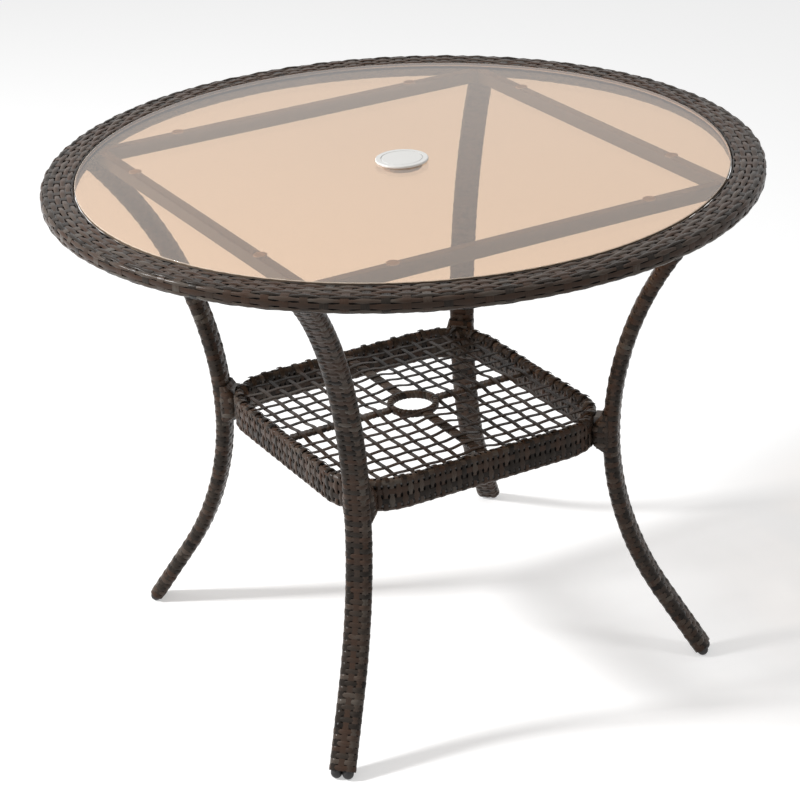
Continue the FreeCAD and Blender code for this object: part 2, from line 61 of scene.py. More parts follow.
class WeaveSizes(bpy.types.PropertyGroup):
    """Sizes of the woven strips."""

    strip_thickness: FloatProperty(
        name="Strip Thickness", default=0.0022, min=0.0003, unit="LENGTH",
        description="Thickness of the flat strips that go over and under",
    )
    rim_depth: FloatProperty(
        name="Rim Depth", default=0.0026, min=0.0005, unit="LENGTH",
        description="How far a strip of the rim dips from a hump to a dip",
    )
    leg_depth: FloatProperty(
        name="Leg Depth", default=0.0012, min=0.0005, unit="LENGTH",
        description="How far a strip of a leg dips from a hump to a dip",
    )
    band_depth: FloatProperty(
        name="Band Depth", default=0.0021, min=0.0005, unit="LENGTH",
        description="How far a strip of the band dips from a hump to a dip",
    )
    rim_holes: FloatProperty(
        name="Rim Holes", default=0.30, **SHARE,
        description="How much narrower the rim's strips are between over and under",
    )
    leg_holes: FloatProperty(
        name="Leg Holes", default=0.15, **SHARE,
        description="How much narrower the legs' strips are between over and under",
    )
    band_holes: FloatProperty(
        name="Band Holes", default=0.42, **SHARE,
        description="How much narrower the band's strips are between over and under",
    )
    rim_lift: FloatProperty(
        name="Rim Lift", default=0.0, unit="LENGTH",
        description="How far the tops of the rim's humps stand out from the smooth cover",
    )
    leg_lift: FloatProperty(
        name="Leg Lift", default=0.0009, unit="LENGTH",
        description="How far the tops of the legs' humps stand out from the smooth cover",
    )
    band_lift: FloatProperty(
        name="Band Lift", default=0.0009, unit="LENGTH",
        description="How far the tops of the band's humps stand out from the smooth cover",
    )
    rim_rows: IntProperty(
        name="Rim Rows", default=16, min=4,
        description="Strips that run round the rim, an even number",
    )
    rim_stakes: IntProperty(
        name="Rim Stakes", default=124, min=8,
        description="Strips that are wound round the rim's section, an even number",
    )
    rim_stake_width: FloatProperty(
        name="Rim Stake Width", default=0.0120, unit="LENGTH",
        description="Width of the strips wound round the rim's section",
    )
    leg_pitch: FloatProperty(
        name="Leg Pitch", default=0.0082, unit="LENGTH",
        description="Distance between the strips wound round a leg",
    )
    leg_stakes: IntProperty(
        name="Leg Stakes", default=8, min=4,
        description="Strips that run down a leg, an even number",
    )
    leg_stake_width: FloatProperty(
        name="Leg Stake Width", default=0.0085, unit="LENGTH",
        description="Width of the strips that run down a leg",
    )
    band_strips: IntProperty(
        name="Band Strips", default=180, min=20,
        description="Upright strips wound round the shelf's band, an even number",
    )
    band_stakes: IntProperty(
        name="Band Stakes", default=8, min=4,
        description="Level strips that run round the shelf's band, an even number",
    )
    band_stake_width: FloatProperty(
        name="Band Stake Width", default=0.0085, unit="LENGTH",
        description="Width of the level strips of the shelf's band",
    )
    strand_width: FloatProperty(
        name="Strand Width", default=0.0063, unit="LENGTH",
        description="Width of the shelf's lattice strands",
    )
    strand_thickness: FloatProperty(
        name="Strand Thickness", default=0.0018, unit="LENGTH",
        description="Thickness of the shelf's lattice strands",
    )


CHANNELS = {"size": 3, "min": 0.0, "max": 1.0}


class Finishes(bpy.types.PropertyGroup):
    """Colours of the table."""

    wicker_dark: FloatVectorProperty(
        name="Wicker Dark", default=(0.0092, 0.0070, 0.0057), subtype="COLOR", **CHANNELS,
        description="Darkest brown of the woven strips",
    )
    wicker_brown: FloatVectorProperty(
        name="Wicker Brown", default=(0.042, 0.0328, 0.0264), subtype="COLOR", **CHANNELS,
        description="Main brown of the woven strips",
    )
    wicker_light: FloatVectorProperty(
        name="Wicker Light", default=(0.122, 0.118, 0.104), subtype="COLOR", **CHANNELS,
        description="Palest brown of the woven strips",
    )
    paint: FloatVectorProperty(
        name="Steel Paint", default=(0.061, 0.058, 0.057), subtype="COLOR", **CHANNELS,
        description="Powder coat of the steel parts",
    )
    glass_tint: FloatVectorProperty(
        name="Glass Tint", default=(0.818, 0.674, 0.545), subtype="COLOR", **CHANNELS,
        description="Light that passes one face of the glass",
    )
    white_plastic: FloatVectorProperty(
        name="White Plastic", default=(0.65, 0.645, 0.625), subtype="COLOR", **CHANNELS,
        description="Plastic of the umbrella ring and its cap",
    )
    foot_black: FloatVectorProperty(
        name="Foot Black", default=(0.012, 0.011, 0.011), subtype="COLOR", **CHANNELS,
        description="Plastic of the foot caps",
    )


def sizes():
    """The sizes set for this scene."""
    return bpy.context.scene.woven_table_sizes


def finishes():
    """The colours set for this scene."""
    return bpy.context.scene.woven_table_finishes


# Real sizes of the frame that the weave follows, in metres. A section has half its width,
# half its height and the radius of its corners.

RIM_MID = 0.4765
RIM_MID_Z = 0.726
RIM_HALF_WIDE = 0.0235
RIM_HALF_HIGH = 0.012
RIM_EDGE = 0.0075
RIM_SECTION = (RIM_HALF_WIDE, RIM_HALF_HIGH, RIM_EDGE)
RIM_TOP_FROM = 0.002
RIM_CALM = 0.5
RIM_INNER_FROM = 0.017
RIM_INNER_CALM = 0.7
RIM_SNUG = 0.0009
RIM_SNUG_CORNER = 0.8

GLASS_BEVEL_AT = 0.45062
GLASS_WALL_AT = 0.45165

WAIST = 0.2915
WAIST_Z = 0.336
UPPER_BEND = 0.5004
LOWER_BEND = 0.425
LOWER_TURN = math.radians(34.0)
LEG_HALF_WIDE = 0.0188
LEG_HALF_DEEP = 0.01065
LEG_SECTION = (LEG_HALF_DEEP, LEG_HALF_WIDE, LEG_HALF_DEEP)
LEG_SIDE_FROM = 0.012
LEG_TOP_Z = 0.7138
LEG_OVER_TOP = 0.0095
LEG_FOOT_Z = 0.0092

BAND_LINE = 0.208
BAND_TURN = 0.080
BAND_LOOP = (BAND_LINE, BAND_LINE, BAND_TURN)
BAND_MID_Z = 0.34875
BAND_HALF_WIDE = 0.008
BAND_HALF_HIGH = 0.02425
BAND_SECTION = (BAND_HALF_WIDE, BAND_HALF_HIGH, BAND_HALF_WIDE)
BAND_EDGE_FROM = 0.017
SIDE_CALM = 0.5

BAR_Z = 0.365
BAR_HALF_HIGH = 0.00285
BAR_SECTION = (0.00735, BAR_HALF_HIGH, BAR_HALF_HIGH)
BAR_START = 0.036
BAR_STOP = 0.2005
BAR_CORE = 0.0011

RING_MID = 0.03325
RING_SECTION = (0.00425, 0.0055, 0.0035)
RING_CORE = 0.0014

NET_Z = 0.3655
STRAND_FIRST = 0.0355
STRAND_STEP = 0.02485
STRANDS = 7
STRAND_CUTS = 150
STRAND_ALONG = (0.0, 0.15, 0.85, 1.0)
STRAND_PLACES = (-1.0, -0.87, 0.87, 1.0)
STRAND_STRAY = 0.0010
STRAND_DRIFT = 0.0008
STRAND_DRIFT_RATE = 21.0
STRAND_WAVE = 0.00055
STRAND_OVER_BAR = 0.0012
STRAND_BAR_FROM = 0.030
STRAND_BAR_RUN = 0.024
STRAND_OVER_BAND = 0.0011
STRAND_BROW = 0.0003
STRAND_CLIMB = 0.0040
STRAND_TUCK = 0.0068

LASHING_HALF_DEEP = 0.0125
LASHING_HALF_WIDE = 0.0228
LASHING_END_WIDE = 0.0182
LASHING_END_DEEP = 0.0055
LASHING_SECTION = (LASHING_HALF_DEEP, LASHING_HALF_WIDE, 0.008)
LASHING_HEIGHTS = (0.318, 0.333, 0.354, 0.381)
LASHING_STAKES = 12

SLIVER = 1e-6

# How the strips lie, as shares of their own width or thickness

HUMP_FLATTER = 0.35
HUMP_LEAN = 0.75
HUMP_LEAN_HIGH = 0.3
OVER_WIDER = 0.04
STRIP_WOBBLE = 0.02
STAKE_THICK = 0.42
CORE_UNDER = 0.95

BAR_WRAPS = 22
BAR_WRAP_RISE = (0.4, 0.6)
BAR_WRAP_LAP = 0.56
BAR_WRAP_TILT = 0.00045
BAR_WRAP_SLANT = 0.0042
BAR_WRAP_OVER = 0.002
RING_WRAPS = 30
RING_WRAP_RISE = (0.5, 0.8)
RING_WRAP_LAP = 0.58
RING_WRAP_TILT = 0.0004
RING_WRAP_SLANT = 0.35

# The plain pieces that become strips, before they are laid on the table

HOOP_SECTION = 0.25
HOOP_ROUNDNESS = 0.8
HOOP_CUTS = 4
STRIP_WALL = 0.5
STRIP_STEP = 4.0
STRIP_EDGE_THINNER = 0.45

# Finish

STRIP_TONE = 0.40
PATCH_TONE = 0.34
GRAIN_TONE = 0.25
CLOUD_TONE = 0.15
TONE_STOPS = (0.30, 0.50, 0.66, 0.92)
WARMER = (1.30, 0.95, 0.80)
STRAND_LIGHTNESS = 0.54
WHITE = (1.0, 1.0, 1.0, 1.0)
MIRROR_LEAST = 0.05
MIRROR_MORE = 0.9
MIRROR_POWER = 4.2
# Share of the painted pale glint on the glass's bevel
BEVEL_GLINT_SHARE = 0.7

# Stage

FLOOR_SIZE = 60.0
FLOOR_Z = -0.0005
FLOOR_GREY = 0.74
FLOOR_GLOW = 0.42
ROOM_LIGHT = 0.40
LAMP_AIM = (0.0, 0.0, 0.45)
LAMPS = {
    "key_lamp": ((-2.7, 1.2, 2.5), 0.45, 138.0),
    "fill_lamp": ((1.2, -1.8, 3.6), 0.7, 18.0),
    "top_lamp": ((-1.3, 1.4, 3.7), 0.9, 8.0),
}
CAMERA_PLACE = (-1.5577, -2.8314, 1.8620)
CAMERA_AIM = (0.4332, 0.7982, -0.4187)
CAMERA_ROLL = -0.0479
CAMERA_LENS = 110.7
CAMERA_FILM = 36.0
CAMERA_SIGHT = 100.0


# Bench work


def clear_bench():
    """Leave nothing selected."""
    bpy.ops.object.select_all(action="DESELECT")


def take(piece):
    """Select one piece alone."""
    clear_bench()
    piece.select_set(True)
    bpy.context.view_layer.objects.active = piece


def points_of(piece):
    """Points of a piece, one row each."""
    spots = np.empty(len(piece.data.vertices) * 3)
    piece.data.vertices.foreach_get("co", spots)
    return spots.reshape(-1, 3)


def set_points(piece, spots):
    """Put the points of a piece at new places."""
    piece.data.vertices.foreach_set("co", np.ascontiguousarray(spots, dtype=np.float32).ravel())
    piece.data.update()


def laid(piece, spots, length):
    """Put strips in place. Their map gets its real length, so grain has one scale everywhere."""
    set_points(piece, spots)
    layer = piece.data.uv_layers.active
    flat = np.empty(len(layer.data) * 2)
    layer.data.foreach_get("uv", flat)
    flat = flat.reshape(-1, 2)
    flat[:, 0] *= length
    layer.data.foreach_set("uv", flat.ravel())


def started(name):
    """The piece that was just added, with its name and its strip map."""
    piece = bpy.context.object
    piece.name = name
    piece.data.uv_layers.active.name = "Strips"
    return piece


def repeated(piece, count, way):
    """Repeat a piece in a row. Each copy moves one tile up the strip map."""
    array = piece.modifiers.new("Row", "ARRAY")
    array.fit_type = "FIXED_COUNT"
    array.count = count
    array.use_relative_offset = False
    array.use_constant_offset = True
    array.constant_offset_displace = way
    array.offset_v = 1.0
    bpy.ops.object.modifier_apply(modifier=array.name)


def squared(part):
    """Turn a round section into a flat one with rounded edges."""
    return np.sign(part) * np.abs(part) ** HOOP_ROUNDNESS


def turn_of(spots):
    """Way round the centre line of each point, from 0 to 1."""
    return np.arctan2(spots[:, 1], spots[:, 0]) / (2 * math.pi) % 1.0


def ring_added(name, along, around):
    """A plain hoop, cut along its line and around its section."""
    clear_bench()
    bpy.ops.mesh.primitive_torus_add(
        major_segments=along,
        minor_segments=around,
        major_radius=1.0,
        minor_radius=HOOP_SECTION,
        generate_uvs=True,
    )
    return started(name)


def stacked_hoops(name, count, along, around):
    """Closed strips: one hoop, stacked upwards one unit apart.

    With them come number, way round, place across and rise of each of their points."""
    piece = ring_added(name, along, around)
    repeated(piece, count, (0.0, 0.0, 1.0))
    spots = points_of(piece)
    number = np.round(spots[:, 2])
    side = (spots[:, 2] - number) / HOOP_SECTION
    rise = (np.hypot(spots[:, 0], spots[:, 1]) - 1.0) / HOOP_SECTION
    return piece, number, turn_of(spots), squared(side), squared(rise)


def core_hoop(name, along, around):
    """One hoop. With it come the ways round its section and round its line of each point."""
    piece = ring_added(name, along, around)
    spots = points_of(piece)
    far = np.hypot(spots[:, 0], spots[:, 1]) - 1.0
    return piece, np.arctan2(spots[:, 2], far) / (2 * math.pi) % 1.0, turn_of(spots)


def flat_strips(name, count, along):
    """Open strips: one flat strip with a crown, repeated sideways.

    With them come number, way along, place across and rise of each of their points."""
    clear_bench()
    bpy.ops.mesh.primitive_grid_add(x_subdivisions=along, y_subdivisions=2, size=2.0)
    piece = started(name)
    wall = piece.modifiers.new("Wall", "SOLIDIFY")
    wall.thickness = STRIP_WALL
    wall.offset = 0.0
    bpy.ops.object.modifier_apply(modifier=wall.name)
    repeated(piece, count, (0.0, STRIP_STEP, 0.0))
    spots = points_of(piece)
    number = np.round(spots[:, 1] / STRIP_STEP)
    side = spots[:, 1] - STRIP_STEP * number
    rise = np.sign(spots[:, 2]) * (1.0 - STRIP_EDGE_THINNER * np.abs(side))
    return piece, number, (spots[:, 0] + 1.0) / 2, side, rise


def plain_tube(name, around, along):
    """Tube with closed ends, cut into rings. With it come ways round and along of its points."""
    clear_bench()
    bpy.ops.mesh.primitive_cylinder_add(vertices=around, radius=1.0, depth=2.0, end_fill_type="NGON")
    piece = started(name)
    bpy.ops.object.mode_set(mode="EDIT")
    bpy.ops.mesh.select_all(action="DESELECT")
    bpy.ops.object.mode_set(mode="OBJECT")
    upright = []
    for edge in piece.data.edges:
        a, b = (piece.data.vertices[i].co for i in edge.vertices)
        upright.append(abs(a.z - b.z) > 1.0)
    piece.data.edges.foreach_set("select", upright)
    bpy.ops.object.mode_set(mode="EDIT")
    bpy.ops.mesh.select_mode(type="EDGE")
    bpy.ops.mesh.subdivide(number_cuts=along - 1)
    bpy.ops.object.mode_set(mode="OBJECT")
    spots = points_of(piece)
    return piece, turn_of(spots), (spots[:, 2] + 1.0) / 2


def joined(name, pieces):
    """Join pieces into one that is named for the real part."""
    take(pieces[0])
    for piece in pieces[1:]:
        piece.select_set(True)
    bpy.ops.object.join()
    whole = bpy.context.object
    whole.name = name
    whole.data.name = name
    return whole


def outward(piece):
    """Turn every face of a piece outwards and shade it smooth up to its edges."""
    take(piece)
    bpy.ops.object.mode_set(mode="EDIT")
    bpy.ops.mesh.select_all(action="SELECT")
    bpy.ops.mesh.normals_make_consistent(inside=False)
    bpy.ops.object.mode_set(mode="OBJECT")
    bpy.ops.object.shade_smooth_by_angle(angle=math.radians(60))
    return piece


def trimmed(piece, high):
    """Cut off what stands above a height and close the cut."""
    take(piece)
    bpy.ops.object.mode_set(mode="EDIT")
    bpy.ops.mesh.select_all(action="SELECT")
    bpy.ops.mesh.bisect(plane_co=(0, 0, high), plane_no=(0, 0, 1), use_fill=True, clear_outer=True)
    bpy.ops.object.mode_set(mode="OBJECT")


def turned_copy(piece, name, angle):
    """A copy with its own mesh, turned about the table's centre line."""
    copy = piece.copy()
    copy.data = piece.data.copy()
    copy.name = name
    copy.data.name = name
    bpy.context.scene.collection.objects.link(copy)
    copy.data.transform(Matrix.Rotation(math.radians(angle), 4, "Z"))
    return copy


def four_copies(pattern, name, node, turns):
    """Turned copies of a pattern, each in the place of its own node. The pattern itself goes."""
    for key, angle in turns.items():
        placed(turned_copy(pattern, name + key, angle), [node + key])
    bpy.data.objects.remove(pattern)


def dressed(piece, material):
    """Give a piece one material."""
    piece.data.materials.clear()
    piece.data.materials.append(material)


def assembled(name, strips, core):
    """Finish strips and their core, whose near-black colour is painted shade, and join them into one
    piece.
    """
    for part in strips:
        dressed(part, material_named("woven_strip", wicker_material, 1.0))
    # The core gets painted shade: a near-black colour for the gaps, where only shade falls.
    dressed(core, material_named("weave_painted_shade", painted_shade_material))
    return joined(name, strips + [core])


def placed(piece, nodes):
    """Let a piece stand for CAD nodes of the frame."""
    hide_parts(*nodes)
    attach(piece, "frame")


def chance(*keys):
    """Steady pseudo random numbers from 0 to 1 for whole number keys."""
    mixed = 0.0
    for i, key in enumerate(keys):
        mixed = mixed + key * (12.9898 + 65.2431 * i)
    return np.sin(mixed) * 43758.5453 % 1.0


# Shapes that the weave follows


def edge_length(section):
    """Length round a rounded rectangle."""
    half_a, half_b, corner = section
    return 4 * (half_a + half_b) - 8 * corner + 2 * math.pi * corner


def edge_walk(section, walk, out):
    """Places at a distance round a rounded rectangle, moved out from its edge."""
    half_a, half_b, corner = section
    corner = min(corner, half_a - SLIVER, half_b - SLIVER)
    flat_a = half_a - corner
    flat_b = half_b - corner
    bend = corner * math.pi / 2
    steps = [0, flat_b, bend, 2 * flat_a, bend, 2 * flat_b, bend, 2 * flat_a, bend, flat_b]
    marks = np.cumsum(steps) + 1e-9 * np.arange(10)
    mid_a = [flat_a, flat_a, flat_a, -flat_a, -flat_a, -flat_a, -flat_a, flat_a, flat_a, flat_a]
    mid_b = [0, flat_b, flat_b, flat_b, flat_b, -flat_b, -flat_b, -flat_b, -flat_b, 0]
    turns = np.radians([0, 0, 90, 90, 180, 180, 270, 270, 360, 360])
    walk = walk % marks[-1]
    turn = np.interp(walk, marks, turns)
    a = np.interp(walk, marks, mid_a) + (corner + out) * np.cos(turn)
    b = np.interp(walk, marks, mid_b) + (corner + out) * np.sin(turn)
    return a, b


def eased(part):
    """Smooth step from 0 to 1."""
    part = np.clip(part, 0.0, 1.0)
    return part * part * (3 - 2 * part)


def on_rim(walk, along, out):
    """Places on the rim. Walk goes round its section, along goes from 0 to 1 round the table.

    The weave lies calmer on the sides and underneath, and snug against the glass."""
    a, b = edge_walk(RIM_SECTION, walk, 0.0)
    top = eased((b - RIM_TOP_FROM) / (RIM_HALF_HIGH - RIM_TOP_FROM))
    inner = eased((-a - RIM_INNER_FROM) / (RIM_HALF_WIDE - RIM_INNER_FROM))
    corner = eased((b - RIM_HALF_HIGH + RIM_EDGE) / (RIM_EDGE / 2))
    out = out * (RIM_CALM + (1 - RIM_CALM) * top) * (1 - RIM_INNER_CALM * inner)
    out = out + RIM_SNUG * inner * (1 + RIM_SNUG_CORNER * corner)
    a, b = edge_walk(RIM_SECTION, walk, out)
    turn = along * 2 * math.pi
    far = RIM_MID + a
    return np.stack([far * np.cos(turn), far * np.sin(turn), RIM_MID_Z + b], axis=1)


def leg_line(along):
    """Distance out, height and lean of a leg's centre line, at a distance up from the waist."""
    bend_start = -LOWER_BEND * LOWER_TURN
    lean = np.where(along > 0, along / UPPER_BEND, np.maximum(along, bend_start) / LOWER_BEND)
    bend = np.where(along > 0, UPPER_BEND, LOWER_BEND)
    out = WAIST + bend * (1 - np.cos(lean))
    high = WAIST_Z + bend * np.sin(lean)
    straight = np.minimum(along - bend_start, 0.0)
    out = out - straight * math.sin(LOWER_TURN)
    high = high + straight * math.cos(LOWER_TURN)
    return out, high, lean


def calmed(out, place, start, end):
    """Relief that gets calmer from a start to an end, on both sides of the middle."""
    return out * (1 - SIDE_CALM * eased((np.abs(place) - start) / (end - start)))


def on_leg(walk, along, out):
    """Places on a leg that stands on the right side. The weave lies calmer on the leg's sides."""
    a, b = edge_walk(LEG_SECTION, walk, 0.0)
    out = calmed(out, b, LEG_SIDE_FROM, LEG_HALF_WIDE)
    a, b = edge_walk(LEG_SECTION, walk, out)
    far, high, lean = leg_line(along)
    return np.stack([far + a * np.cos(lean), b, high - a * np.sin(lean)], axis=1)


def on_band(walk, along, out):
    """Places on the shelf's band. Along is the distance round its middle line.

    The weave lies calmer on the band's top and bottom edges."""
    a, b = edge_walk(BAND_SECTION, walk, 0.0)
    out = calmed(out, b, BAND_EDGE_FROM, BAND_HALF_HIGH)
    a, b = edge_walk(BAND_SECTION, walk, out)
    x, y = edge_walk(BAND_LOOP, along, a)
    return np.stack([x, y, BAND_MID_Z + b], axis=1)


def on_bar(walk, along, out):
    """Places on the cross bar of the right side. Along is the distance from the centre."""
    a, b = edge_walk(BAR_SECTION, walk, out)
    return np.stack([along, a, BAR_Z + b], axis=1)


def on_ring(walk, along, out):
    """Places on the shelf's ring. Along goes from 0 to 1 round it."""
    a, b = edge_walk(RING_SECTION, walk, out)
    turn = along * 2 * math.pi
    far = RING_MID + a
    return np.stack([far * np.cos(turn), far * np.sin(turn), BAR_Z + b], axis=1)


def on_lashing(walk, high, out):
    """Places on the lashing that swells out of a leg towards the shelf's corner."""
    a, b = edge_walk(LASHING_SECTION, walk, out)
    low, full_low, full_top, top = LASHING_HEIGHTS
    swell = eased((high - low) / (full_low - low)) * eased((top - high) / (top - full_top))
    deep = LASHING_END_DEEP + (LASHING_HALF_DEEP - LASHING_END_DEEP) * swell
    wide = LASHING_END_WIDE + (LASHING_HALF_WIDE - LASHING_END_WIDE) * swell
    a = a * deep / LASHING_HALF_DEEP
    b = b * wide / LASHING_HALF_WIDE
    return np.stack([WAIST - deep + a, b, high], axis=1)


# Weaving


Relief = namedtuple("Relief", "lift depth holes")


def relief_of(part):
    """Relief of the rim's, a leg's or the band's weave."""
    size = sizes()
    return Relief(*(getattr(size, part + value) for value in ("_lift", "_depth", "_holes")))


def over_under(number, turn, stakes):
    """1 where a strip lies over a stake, -1 where it lies under one, with a quick change between."""
    wave = np.cos(math.pi * (turn * stakes + number))
    return wave * (1 + HUMP_FLATTER - HUMP_FLATTER * wave ** 2)


def hump_lean(number, turn, stakes):
    """How much each hump of a strip leans to one side. No two lean quite alike."""
    hump = np.round((turn * stakes + number) / 2) % (stakes // 2)
    return HUMP_LEAN * (chance(number, hump) - 0.5)


def woven_hoops(name, count, stakes, width, relief):
    """Hoops that go over and under the stakes.

    With them come number, way round, place across and height of each of their points."""
    piece, number, turn, side, rise = stacked_hoops(name, count, stakes * HOOP_CUTS, around=8)
    thick = sizes().strip_thickness
    wave = over_under(number, turn, stakes)
    lean = hump_lean(number, turn, stakes)
    pinch = 1 + OVER_WIDER * wave - relief.holes * (1 - wave ** 2)
    wobble = np.sin(chance(number, 3.0) * 2 * math.pi + 2 * math.pi * turn)
    across = 0.5 * width * pinch * side + STRIP_WOBBLE * width * wobble
    height = relief.lift - 0.5 * thick + 0.5 * relief.depth * (wave - 1)
    height = height + 0.5 * thick * rise
    height = height + HUMP_LEAN_HIGH * thick * (lean * side - np.abs(lean)) * (1 + wave)
    return piece, number, turn, across, height


def stake_height(rise, relief):
    """Height of the points of stakes, which lie half way down the weave."""
    thick = sizes().strip_thickness
    middle = relief.lift - 0.5 * thick - 0.5 * relief.depth
    return middle + STAKE_THICK * thick * rise


def core_depth(relief):
    """Depth of the core under the weave, which is coloured in painted shade."""
    return relief.lift - relief.depth - CORE_UNDER * sizes().strip_thickness


def weave_rim():
    """Weave of the rim: strips run round the table, stakes are wound round its section."""
    size = sizes()
    relief = relief_of("rim")
    edge = edge_length(RIM_SECTION)
    length = 2 * math.pi * RIM_MID
    count = size.rim_stakes
    pitch = edge / size.rim_rows
    rows, number, turn, across, height = woven_hoops("rim_rows", size.rim_rows, count, pitch, relief)
    laid(rows, on_rim(number * pitch + across, turn, height), length)
    stakes, number, turn, side, rise = stacked_hoops("rim_stakes", count, along=24, around=6)
    along = number / count + 0.5 * size.rim_stake_width * side / length
    laid(stakes, on_rim(turn * edge, along, stake_height(rise, relief)), edge)
    core, walk, turn = core_hoop("rim_core", along=count, around=20)
    set_points(core, on_rim(walk * edge, turn, core_depth(relief)))
    return outward(assembled("rim_weave", [rows, stakes], core))


def leg_rows():
    """Lower and upper end of a leg's weave along its line, and number and pitch of its rows."""
    bend_z = WAIST_Z - LOWER_BEND * math.sin(LOWER_TURN)
    low = -LOWER_BEND * LOWER_TURN - (bend_z - LEG_FOOT_Z) / math.cos(LOWER_TURN)
    high = UPPER_BEND * math.asin((LEG_TOP_Z + LEG_OVER_TOP - WAIST_Z) / UPPER_BEND)
    count = int(round((high - low) / sizes().leg_pitch))
    return low, high, count, (high - low) / count


def weave_leg():
    """Weave of one leg: strips are wound round both tubes, stakes run down the leg."""
    size = sizes()
    relief = relief_of("leg")
    edge = edge_length(LEG_SECTION)
    low, high, count, pitch = leg_rows()
    rows, number, turn, across, height = woven_hoops("leg_rows", count, size.leg_stakes, pitch, relief)
    laid(rows, on_leg(turn * edge, low + (number + 0.5) * pitch + across, height), edge)
    stakes, number, along, side, rise = flat_strips("leg_stakes", size.leg_stakes, along=2 * count)
    walk = number / size.leg_stakes * edge + 0.5 * size.leg_stake_width * side
    places = on_leg(walk, low + along * (high - low), stake_height(rise, relief))
    laid(stakes, places, high - low)
    core, turn, along = plain_tube("leg_core", around=24, along=80)
    set_points(core, on_leg(turn * edge, low + along * (high - low), core_depth(relief)))
    leg = assembled("leg_weave", [rows, stakes], core)
    trimmed(leg, LEG_TOP_Z)
    return outward(leg)


def weave_band():
    """Weave of the shelf's band: upright strips over and under level stakes."""
    size = sizes()
    relief = relief_of("band")
    edge = edge_length(BAND_SECTION)
    length = edge_length(BAND_LOOP)
    count = size.band_stakes
    pitch = length / size.band_strips
    rows, number, turn, across, height = woven_hoops("band_rows", size.band_strips, count, pitch, relief)
    laid(rows, on_band((turn + 0.5 / count) * edge, number * pitch + across, height), edge)
    cuts = 2 * size.band_strips
    stakes, number, turn, side, rise = stacked_hoops("band_stakes", count, along=cuts, around=6)
    walk = (number + 0.5) / count * edge + 0.5 * size.band_stake_width * side
    laid(stakes, on_band(walk, turn * length, stake_height(rise, relief)), length)
    core, walk, turn = core_hoop("band_core", along=160, around=20)
    set_points(core, on_band(walk * edge, turn * length, core_depth(relief)))
    return outward(assembled("shelf_band_weave", [rows, stakes], core))


def band_distance(x, y):
    """Distance of places on the shelf from the band's middle line, negative inside it."""
    turn_at = BAND_LINE - BAND_TURN
    round_out = np.hypot(np.abs(x) - turn_at, np.abs(y) - turn_at) - BAND_TURN
    flat_out = np.maximum(np.abs(x), np.abs(y)) - BAND_LINE
    corner = (np.abs(x) > turn_at) & (np.abs(y) > turn_at)
    return np.where(corner, round_out, flat_out)


def strand_high(line, run):
    """Height of a strand's middle: level, over a cross bar, and over the band at its ends."""
    over_bar = BAR_HALF_HIGH + STRAND_OVER_BAR - (NET_Z - BAR_Z)
    high = NET_Z + over_bar * eased((STRAND_BAR_FROM - np.abs(run)) / STRAND_BAR_RUN)
    away = band_distance(line, run)
    top = BAND_HALF_WIDE + STRAND_OVER_BAND
    brow = STRAND_BROW - top
    brow_z = BAR_Z + math.sqrt(top ** 2 - brow ** 2)
    over = BAR_Z + np.sqrt(np.maximum(top ** 2 - np.clip(away, -top, top) ** 2, 0.0))
    climb = eased((away - brow + STRAND_CLIMB) / STRAND_CLIMB)
    return np.where(away > brow, over, high + (brow_z - NET_Z) * climb)


def strand_end(line):
    """Distance from the middle at which a strand ends, on the band's outer side."""
    turn_at = BAND_LINE - BAND_TURN
    beyond = np.maximum(np.abs(line) - turn_at, 0.0)
    return turn_at + np.sqrt((BAND_TURN + STRAND_TUCK) ** 2 - beyond ** 2)


def strand_wave(run, number, crosswise):
    """1 where a strand lies over a crossing one, -1 where it lies under it."""
    far = np.abs(run)
    middle = far < STRAND_FIRST
    crossing = np.where(middle, far / STRAND_FIRST - 1, (far - STRAND_FIRST) / STRAND_STEP)
    wave = np.cos(math.pi * (crossing + number + crosswise + (run < 0)))
    return np.where(middle, wave * np.abs(crossing + 1), wave)


def strands(name, crosswise):
    """The lattice strands that run one way."""
    size = sizes()
    piece, number, along, side, rise = flat_strips(name, 2 * STRANDS, STRAND_CUTS)
    place = np.where(number < STRANDS, number - STRANDS, number - STRANDS + 1)
    line = np.sign(place) * (STRAND_FIRST + STRAND_STEP * (np.abs(place) - 1))
    line = line + STRAND_STRAY * (chance(number, 5.0 + crosswise) - 0.5)
    run = np.interp(along, STRAND_ALONG, STRAND_PLACES) * strand_end(line)
    start = 9 * chance(number, 11.0 + crosswise)
    drift = STRAND_DRIFT * np.sin(STRAND_DRIFT_RATE * run + start)
    high = strand_high(line, run) + STRAND_WAVE * strand_wave(run, number, crosswise)
    high = high + 0.5 * size.strand_thickness * rise
    shift = line + drift + 0.5 * size.strand_width * side
    pair = (run, shift) if crosswise else (shift, run)
    laid(piece, np.stack([*pair, high], axis=1), 2 * BAND_LINE)
    dressed(piece, material_named("lattice_strip", wicker_material, STRAND_LIGHTNESS))
    return piece


def wrap_height(side, rise, thickness, tilt):
    """Height of the points of wraps, which lie flat but for a tilt across."""
    grow, sink = thickness
    return sizes().band_lift + sizes().strip_thickness * (grow * rise - sink) + tilt * side


def wrapped_bar():
    """Wraps of one cross bar: slanted strips, each lapping the one before."""
    edge = edge_length(BAR_SECTION)
    length = BAR_STOP - BAR_START
    pitch = length / BAR_WRAPS
    wraps, number, turn, side, rise = stacked_hoops("bar_wraps", BAR_WRAPS, along=28, around=8)
    height = wrap_height(side, rise, BAR_WRAP_RISE, BAR_WRAP_TILT)
    slant = BAR_WRAP_SLANT * np.sin(2 * math.pi * turn + math.pi / 2)
    along = BAR_START + (number + 0.5) * pitch + BAR_WRAP_LAP * pitch * side + slant
    along = np.clip(along, BAR_START, BAR_STOP + BAR_WRAP_OVER)
    laid(wraps, on_bar(turn * edge, along, height), edge)
    core, turn, along = plain_tube("bar_core", around=20, along=4)
    set_points(core, on_bar(turn * edge, BAR_START + along * length, -BAR_CORE))
    return outward(assembled("bar_wrap", [wraps], core))


